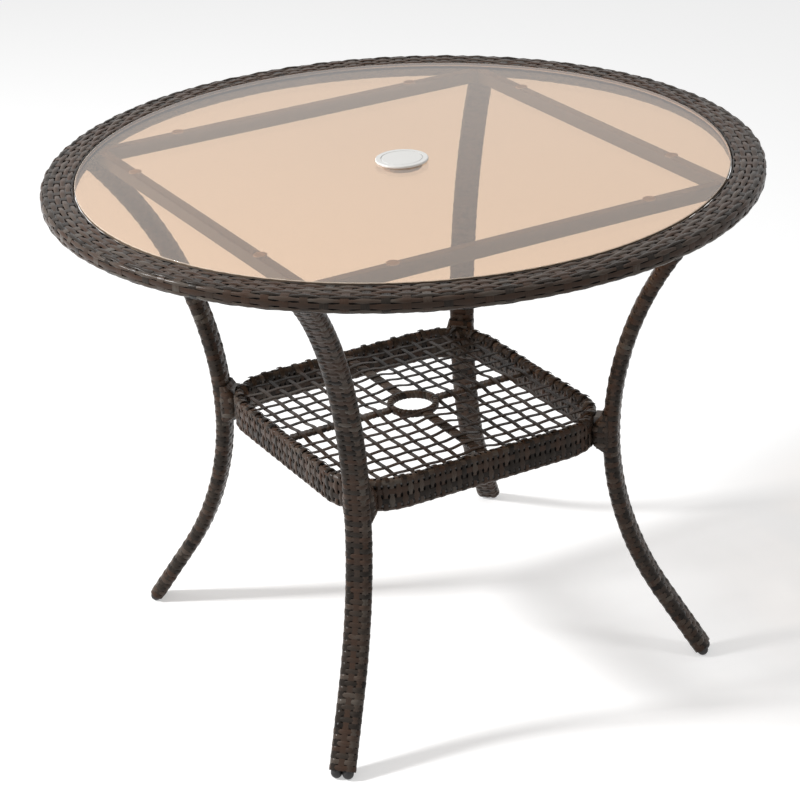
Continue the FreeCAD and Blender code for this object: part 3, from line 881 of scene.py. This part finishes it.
def wrapped_ring():
    """Wraps of the shelf's ring, wound round its section."""
    edge = edge_length(RING_SECTION)
    wraps, number, turn, side, rise = stacked_hoops("ring_wraps", RING_WRAPS, along=20, around=8)
    height = wrap_height(side, rise, RING_WRAP_RISE, RING_WRAP_TILT)
    slant = RING_WRAP_SLANT * np.sin(2 * math.pi * turn)
    along = (number + RING_WRAP_LAP * side + slant) / RING_WRAPS
    laid(wraps, on_ring(turn * edge, along, height), edge)
    core, walk, turn = core_hoop("ring_core", along=48, around=12)
    set_points(core, on_ring(walk * edge, turn, -RING_CORE))
    return outward(assembled("shelf_ring_weave", [wraps], core))


def woven_lashing():
    """Weave of a lashing. Its rows lie level with the leg's rows beside them."""
    relief = relief_of("leg")
    edge = edge_length(LASHING_SECTION)
    low, _, _, pitch = leg_rows()
    first = math.ceil((LASHING_HEIGHTS[0] - WAIST_Z - low) / pitch)
    count = int((LASHING_HEIGHTS[3] - LASHING_HEIGHTS[0]) / pitch)
    start = WAIST_Z + low + first * pitch
    tall = count * pitch
    rows, number, turn, across, height = woven_hoops("lashing_rows", count, LASHING_STAKES, pitch, relief)
    laid(rows, on_lashing(turn * edge, start + (number + 0.5) * pitch + across, height), edge)
    stakes, number, along, side, rise = flat_strips("lashing_stakes", LASHING_STAKES, along=4 * count)
    walk = number / LASHING_STAKES * edge + 0.5 * sizes().leg_stake_width * side
    laid(stakes, on_lashing(walk, start + along * tall, stake_height(rise, relief)), tall)
    core, turn, along = plain_tube("lashing_core", around=24, along=16)
    set_points(core, on_lashing(turn * edge, start + along * tall, core_depth(relief)))
    return outward(assembled("lashing_weave", [rows, stakes], core))


# Materials


class Bench:
    """Node tree of one material or of the world, with short ways to add and join nodes."""

    def __init__(self, owner, out="ShaderNodeOutputMaterial"):
        owner.use_nodes = True
        self.owner = owner
        self.tree = owner.node_tree
        self.tree.nodes.clear()
        self.out = self.tree.nodes.new(out)

    def add(self, kind, inputs=None, **settings):
        """A node with its settings, its input values and links."""
        node = self.tree.nodes.new(kind)
        for key, value in settings.items():
            setattr(node, key, value)
        for key, value in (inputs or {}).items():
            if isinstance(value, bpy.types.NodeSocket):
                self.tree.links.new(value, node.inputs[key])
            else:
                node.inputs[key].default_value = value
        return node

    def sum(self, kind, a, b):
        """Result of a sum of two numbers or sockets."""
        return self.add("ShaderNodeMath", {0: a, 1: b}, operation=kind).outputs[0]

    def plus(self, base, value, weight):
        """A number and a share of another one."""
        return self.sum("ADD", base, self.sum("MULTIPLY", value, weight))

    def blend(self, factor, a, b):
        """Colour between two colours."""
        inputs = {"Factor": factor, 6: a, 7: b}
        return self.add("ShaderNodeMix", inputs, data_type="RGBA").outputs[2]

    def body(self):
        """Place on the piece itself."""
        return self.add("ShaderNodeTexCoord").outputs["Object"]

    def spot(self, x, x_rate, y, y_rate):
        """A flat place from two numbers, each with its own rate."""
        pair = {0: self.sum("MULTIPLY", x, x_rate), 1: self.sum("MULTIPLY", y, y_rate), 2: 0.0}
        return self.add("ShaderNodeCombineXYZ", pair).outputs[0]

    def noise(self, place, scale, detail, **more):
        """Strength of a noise at a place."""
        inputs = {"Vector": place, "Scale": scale, "Detail": detail, **more}
        return self.add("ShaderNodeTexNoise", inputs).outputs["Fac"]

    def bumps(self, height, strength, distance):
        """Small bumps of a skin."""
        inputs = {"Height": height, "Strength": strength, "Distance": distance}
        return self.add("ShaderNodeBump", inputs).outputs[0]

    def seen_directly(self):
        """1 for rays that come from the camera, a mirror or glass."""
        rays = self.add("ShaderNodeLightPath").outputs
        first = self.sum("MAXIMUM", rays["Is Camera Ray"], rays["Is Glossy Ray"])
        return self.sum("MAXIMUM", first, rays["Is Transmission Ray"])

    def steps(self, factor, stops):
        """Colour ramp with its stops."""
        node = self.add("ShaderNodeValToRGB", {"Fac": factor})
        ramp = node.color_ramp
        ramp.elements[0].position, ramp.elements[0].color = stops[0]
        ramp.elements[1].position, ramp.elements[1].color = stops[-1]
        for place, colour in stops[1:-1]:
            ramp.elements.new(place).color = colour
        return node.outputs["Color"]

    def mix(self, factor, a, b):
        """One shader that turns into another."""
        return self.add("ShaderNodeMixShader", {0: factor, 1: a.outputs[0], 2: b.outputs[0]})

    def matt(self, colour):
        """Plain matt shader."""
        return self.add("ShaderNodeBsdfDiffuse", {"Color": colour})

    def close(self, shader):
        """Join the shader to the surface."""
        self.tree.links.new(shader.outputs[0], self.out.inputs["Surface"])
        return self.owner

    def surface(self, colour, rough, normal=None, **more):
        """Finish the material with one coat of a colour and a roughness."""
        inputs = {"Base Color": colour, "Roughness": rough, **more}
        if normal is not None:
            inputs["Normal"] = normal
        return self.close(self.add("ShaderNodeBsdfPrincipled", inputs))


def full(colour):
    """Colour with full opacity."""
    return (colour[0], colour[1], colour[2], 1.0)


def new_bench(name):
    """Bench of a new material."""
    return Bench(bpy.data.materials.new(name))


def wicker_material(name, lightness):
    """Flat extruded strip with fine grain along it, each strip a little different."""
    tint = finishes()
    bench = new_bench(name)
    place = bench.add("ShaderNodeUVMap", uv_map="Strips").outputs[0]
    parts = bench.add("ShaderNodeSeparateXYZ", {0: place})
    along = parts.outputs["X"]
    tile = parts.outputs["Y"]
    number = bench.sum("FLOOR", tile, 0.0)
    key = bench.sum("MULTIPLY", number, 1.731)
    strip = bench.add("ShaderNodeTexWhiteNoise", {"W": key}, noise_dimensions="1D").outputs["Value"]
    patch = bench.noise(bench.spot(along, 24.0, number, 5.17), scale=1.0, detail=2.0)
    grain_place = bench.spot(along, 70.0, tile, 34.0)
    grain = bench.noise(grain_place, scale=1.0, detail=4.0, Roughness=0.6)
    cloud = bench.noise(bench.body(), scale=9.0, detail=3.0)
    mixed = bench.sum("MULTIPLY", strip, STRIP_TONE)
    for part, weight in ((patch, PATCH_TONE), (grain, GRAIN_TONE), (cloud, CLOUD_TONE)):
        mixed = bench.plus(mixed, part, weight)
    dark, brown, light = (
        [channel * lightness for channel in colour]
        for colour in (tint.wicker_dark, tint.wicker_brown, tint.wicker_light)
    )
    warm = [channel * more for channel, more in zip(brown, WARMER)]
    tones = [full(colour) for colour in (dark, brown, warm, light)]
    colour = bench.steps(mixed, list(zip(TONE_STOPS, tones)))
    fine = bench.bumps(grain, strength=0.35, distance=0.0003)
    return bench.surface(colour, bench.plus(0.21, grain, 0.14), fine, **{"Specular IOR Level": 0.11})


def painted_shade_material(name):
    """Core under the weave: it stands for the frame inside, and its near-black colour is painted shade in
    the gaps between the strips.
    """
    bench = new_bench(name)
    fleck = bench.noise(bench.body(), scale=220.0, detail=2.0)
    # Painted shade: near-black colours for the inside of the weave, where only shade falls.
    colour = bench.steps(fleck, [(0.3, (0.003, 0.0026, 0.0024, 1)), (0.8, (0.009, 0.007, 0.006, 1))])
    return bench.surface(colour, 0.8, **{"Specular IOR Level": 0.2})


def paint_material():
    """Fine textured powder coat."""
    paint = finishes().paint
    bench = new_bench("powder_coat")
    body = bench.body()
    patch = bench.noise(body, scale=12.0, detail=4.0)
    colour = bench.blend(patch, full(paint), full([channel * 1.3 for channel in paint]))
    peel = bench.bumps(bench.noise(body, scale=900.0, detail=3.0), strength=0.25, distance=0.0002)
    return bench.surface(colour, bench.plus(0.38, patch, 0.14), peel)


def glass_material():
    """Tinted clear glass: it passes amber light and mirrors the room at a slant.

    Its bevel is matt with a painted pale glint, and its ground wall is dark with painted shade."""
    tint = finishes().glass_tint
    bench = new_bench("tinted_glass")
    body = bench.body()
    haze = bench.noise(body, scale=3.0, detail=2.0)
    colour = bench.blend(haze, full(tint), full([min(channel * 1.02, 1.0) for channel in tint]))
    through = bench.add("ShaderNodeBsdfTransparent", {"Color": colour})
    rough = bench.sum("MULTIPLY", haze, 0.02)
    mirror = bench.add("ShaderNodeBsdfGlossy", {"Color": WHITE, "Roughness": rough})
    slant = bench.add("ShaderNodeLayerWeight", {"Blend": 0.5}).outputs["Facing"]
    share = bench.plus(MIRROR_LEAST, bench.sum("POWER", slant, MIRROR_POWER), MIRROR_MORE)
    clear = bench.mix(share, through, mirror)
    parts = bench.add("ShaderNodeSeparateXYZ", {0: body})
    x, y = parts.outputs["X"], parts.outputs["Y"]
    squares = bench.sum("ADD", bench.sum("MULTIPLY", x, x), bench.sum("MULTIPLY", y, y))
    far = bench.sum("SQRT", squares, 0.0)
    # Painted glint: a pale matt colour on the bevel stands in for light caught there.
    bevel = bench.matt((0.62, 0.52, 0.43, 1))
    # Painted shade: a dark matt colour on the ground wall stands in for the dark line at the glass's
    # edge.
    wall = bench.matt((0.16, 0.12, 0.09, 1))
    on_bevel = bench.sum("MULTIPLY", bench.sum("GREATER_THAN", far, GLASS_BEVEL_AT), BEVEL_GLINT_SHARE)
    on_wall = bench.sum("GREATER_THAN", far, GLASS_WALL_AT)
    return bench.close(bench.mix(on_wall, bench.mix(on_bevel, clear, bevel), wall))


def pad_material():
    """Soft clear silicone."""
    bench = new_bench("clear_pad")
    cloud = bench.noise(bench.body(), scale=160.0, detail=2.0)
    colour = bench.blend(cloud, (0.36, 0.33, 0.30, 1), (0.46, 0.43, 0.40, 1))
    return bench.surface(colour, 0.3, bench.bumps(cloud, strength=0.15, distance=0.0003))


def plastic_material(name, colour, roughness, grain_scale):
    """Moulded plastic with a fine grain."""
    bench = new_bench(name)
    body = bench.body()
    patch = bench.noise(body, scale=30.0, detail=3.0)
    shaded = bench.blend(patch, full([channel * 0.93 for channel in colour]), full(colour))
    grain = bench.noise(body, grain_scale, detail=3.0)
    grain = bench.bumps(grain, strength=0.2, distance=0.0002)
    return bench.surface(shaded, bench.plus(roughness, patch, 0.12), grain)


def bolt_material():
    """Blackened steel with faint turning marks."""
    bench = new_bench("black_bolt")
    marks = bench.noise(bench.body(), scale=500.0, detail=3.0)
    colour = bench.blend(marks, (0.035, 0.030, 0.027, 1), (0.060, 0.053, 0.048, 1))
    fine = bench.bumps(marks, strength=0.1, distance=0.0001)
    return bench.surface(colour, bench.plus(0.28, marks, 0.2), fine, Metallic=0.6)


def material_named(name, make, *more):
    """A material that is made once and then used again."""
    return bpy.data.materials.get(name) or make(name, *more)


def coat(nodes, material):
    """Give the frame's own nodes a material."""
    for name in nodes:
        dressed(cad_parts[name], material)


# Operators


class WOVENTABLE_OT_rim(bpy.types.Operator):
    """Weave the rim"""

    bl_idname = "woven_table.rim"
    bl_label = "Weave Rim"

    def execute(self, context):
        placed(weave_rim(), ["rim_wicker"])
        return {"FINISHED"}


class WOVENTABLE_OT_legs(bpy.types.Operator):
    """Weave the four legs"""

    bl_idname = "woven_table.legs"
    bl_label = "Weave Legs"

    def execute(self, context):
        four_copies(weave_leg(), "leg_weave_", "leg_wicker_", CORNERS)
        return {"FINISHED"}


class WOVENTABLE_OT_band(bpy.types.Operator):
    """Weave the band round the shelf"""

    bl_idname = "woven_table.band"
    bl_label = "Weave Shelf Band"

    def execute(self, context):
        placed(weave_band(), ["shelf_wicker"])
        return {"FINISHED"}


class WOVENTABLE_OT_lattice(bpy.types.Operator):
    """Weave the open lattice of the shelf"""

    bl_idname = "woven_table.lattice"
    bl_label = "Weave Lattice"

    def execute(self, context):
        parts = [strands("strands_across", 1), strands("strands_along", 0)]
        lattice = outward(joined("shelf_lattice", parts))
        placed(lattice, ["shelf_net_" + corner for corner in CORNERS])
        return {"FINISHED"}


class WOVENTABLE_OT_bars(bpy.types.Operator):
    """Wrap the four cross bars of the shelf"""

    bl_idname = "woven_table.bars"
    bl_label = "Wrap Cross Bars"

    def execute(self, context):
        four_copies(wrapped_bar(), "bar_wrap_", "shelf_bar_wicker_", SIDES)
        return {"FINISHED"}


class WOVENTABLE_OT_ring(bpy.types.Operator):
    """Wrap the ring in the middle of the shelf"""

    bl_idname = "woven_table.ring"
    bl_label = "Wrap Ring"

    def execute(self, context):
        placed(wrapped_ring(), ["shelf_ring_wicker"])
        return {"FINISHED"}


class WOVENTABLE_OT_lashings(bpy.types.Operator):
    """Weave the sleeves between the shelf and the legs"""

    bl_idname = "woven_table.lashings"
    bl_label = "Weave Lashings"

    def execute(self, context):
        four_copies(woven_lashing(), "lashing_weave_", "shelf_lashing_", CORNERS)
        return {"FINISHED"}


class WOVENTABLE_OT_steel(bpy.types.Operator):
    """Coat the steel parts"""

    bl_idname = "woven_table.steel"
    bl_label = "Coat Steel"

    def execute(self, context):
        names = ["rim_hoop_inner", "rim_hoop_outer", "shelf_tube_upper", "shelf_tube_lower", "shelf_ring"]
        names += ["rail_" + side for side in SIDES]
        names += ["shelf_bar_" + side for side in SIDES]
        for corner in CORNERS:
            names += ["leg_tube_a_" + corner, "leg_tube_b_" + corner, "shelf_bracket_" + corner]
        coat(names, paint_material())
        coat(["shelf_bolts", "shelf_washers"], bolt_material())
        return {"FINISHED"}


class WOVENTABLE_OT_glass(bpy.types.Operator):
    """Finish the glass top and its pads"""

    bl_idname = "woven_table.glass"
    bl_label = "Finish Glass"

    def execute(self, context):
        coat(["glass_top"], glass_material())
        coat(["glass_pads"], pad_material())
        return {"FINISHED"}


class WOVENTABLE_OT_plastics(bpy.types.Operator):
    """Finish the umbrella ring, its cap and the foot caps"""

    bl_idname = "woven_table.plastics"
    bl_label = "Finish Plastics"

    def execute(self, context):
        tint = finishes()
        white = plastic_material("white_plastic", tint.white_plastic, 0.3, 700.0)
        black = plastic_material("foot_plastic", tint.foot_black, 0.42, 900.0)
        coat(["umbrella_ring", "umbrella_cap"], white)
        coat(["foot_caps_" + corner for corner in CORNERS], black)
        return {"FINISHED"}


class WOVENTABLE_OT_stage(bpy.types.Operator):
    """Set the floor, the light and the camera"""

    bl_idname = "woven_table.stage"
    bl_label = "Set Stage"

    def execute(self, context):
        lay_floor()
        set_light()
        set_camera()
        return {"FINISHED"}


def lay_floor():
    """Plain pale floor that keeps the table's shadow."""
    clear_bench()
    bpy.ops.mesh.primitive_plane_add(size=FLOOR_SIZE)
    floor = bpy.context.object
    floor.name = "floor"
    floor.data.transform(Matrix.Translation((0.0, 0.0, FLOOR_Z)))
    bench = new_bench("floor_white")
    matt = bench.matt((FLOOR_GREY, FLOOR_GREY, FLOOR_GREY, 1.0))
    glow = bench.sum("MULTIPLY", bench.seen_directly(), FLOOR_GLOW)
    lift = bench.add("ShaderNodeEmission", {"Color": WHITE, "Strength": glow})
    both = bench.add("ShaderNodeAddShader", {0: matt.outputs[0], 1: lift.outputs[0]})
    floor.data.materials.append(bench.close(both))


def set_light():
    """Soft white room, a strong lamp high on the left, and two weak ones high up."""
    room = bpy.data.worlds.new("room")
    bpy.context.scene.world = room
    bench = Bench(room, out="ShaderNodeOutputWorld")
    strength = bench.plus(ROOM_LIGHT, bench.seen_directly(), 1.0 - ROOM_LIGHT)
    bench.close(bench.add("ShaderNodeBackground", {"Color": WHITE, "Strength": strength}))
    for name, (place, size, power) in LAMPS.items():
        broad_lamp(name, place, size, power)


def broad_lamp(name, place, size, power):
    """Square lamp that faces the table's middle."""
    lamp = bpy.data.lights.new(name, "AREA")
    lamp.size = size
    lamp.energy = power
    holder = bpy.data.objects.new(name, lamp)
    holder.location = place
    aim = Vector(LAMP_AIM) - Vector(place)
    holder.rotation_euler = aim.to_track_quat("-Z", "Y").to_euler()
    bpy.context.scene.collection.objects.link(holder)


def set_camera():
    """Camera where the table is seen from above on the front left."""
    aim = Vector(CAMERA_AIM).normalized()
    level = aim.cross(Vector((0.0, 0.0, 1.0))).normalized()
    rise = level.cross(aim)
    right = level * math.cos(CAMERA_ROLL) + rise * math.sin(CAMERA_ROLL)
    up = right.cross(aim)
    lens = bpy.data.cameras.new("view")
    lens.lens = CAMERA_LENS
    lens.sensor_width = CAMERA_FILM
    lens.clip_end = CAMERA_SIGHT
    camera = bpy.data.objects.new("view", lens)
    turn = Matrix((right, up, -aim)).transposed().to_4x4()
    camera.matrix_world = Matrix.Translation(CAMERA_PLACE) @ turn
    bpy.context.scene.collection.objects.link(camera)
    bpy.context.scene.camera = camera
    bpy.context.scene.view_settings.view_transform = "Standard"


class WOVENTABLE_PT_panel(bpy.types.Panel):
    """Sizes, colours and pieces of the table"""

    bl_idname = "WOVENTABLE_PT_panel"
    bl_label = "Woven Table"
    bl_space_type = "VIEW_3D"
    bl_region_type = "UI"
    bl_category = "Woven Table"

    def draw(self, context):
        layout = self.layout
        for group in (sizes(), finishes()):
            box = layout.box()
            for name in group.__annotations__:
                box.prop(group, name)
        for operator in OPERATORS:
            layout.operator(operator.bl_idname)


OPERATORS = (
    WOVENTABLE_OT_rim,
    WOVENTABLE_OT_legs,
    WOVENTABLE_OT_band,
    WOVENTABLE_OT_lattice,
    WOVENTABLE_OT_bars,
    WOVENTABLE_OT_ring,
    WOVENTABLE_OT_lashings,
    WOVENTABLE_OT_steel,
    WOVENTABLE_OT_glass,
    WOVENTABLE_OT_plastics,
    WOVENTABLE_OT_stage,
)
CLASSES = (WeaveSizes, Finishes) + OPERATORS + (WOVENTABLE_PT_panel,)


def register():
    """Add the classes and the two groups of settings."""
    for cls in CLASSES:
        bpy.utils.register_class(cls)
    bpy.types.Scene.woven_table_sizes = PointerProperty(type=WeaveSizes)
    bpy.types.Scene.woven_table_finishes = PointerProperty(type=Finishes)


def unregister():
    """Take everything out again that register added."""
    del bpy.types.Scene.woven_table_finishes
    del bpy.types.Scene.woven_table_sizes
    for cls in reversed(CLASSES):
        bpy.utils.unregister_class(cls)


def main():
    """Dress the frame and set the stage."""
    register()
    bpy.ops.woven_table.rim()
    bpy.ops.woven_table.legs()
    bpy.ops.woven_table.band()
    bpy.ops.woven_table.lattice()
    bpy.ops.woven_table.bars()
    bpy.ops.woven_table.ring()
    bpy.ops.woven_table.lashings()
    bpy.ops.woven_table.steel()
    bpy.ops.woven_table.glass()
    bpy.ops.woven_table.plastics()
    bpy.ops.woven_table.stage()


if __name__ == "__main__":
    main()
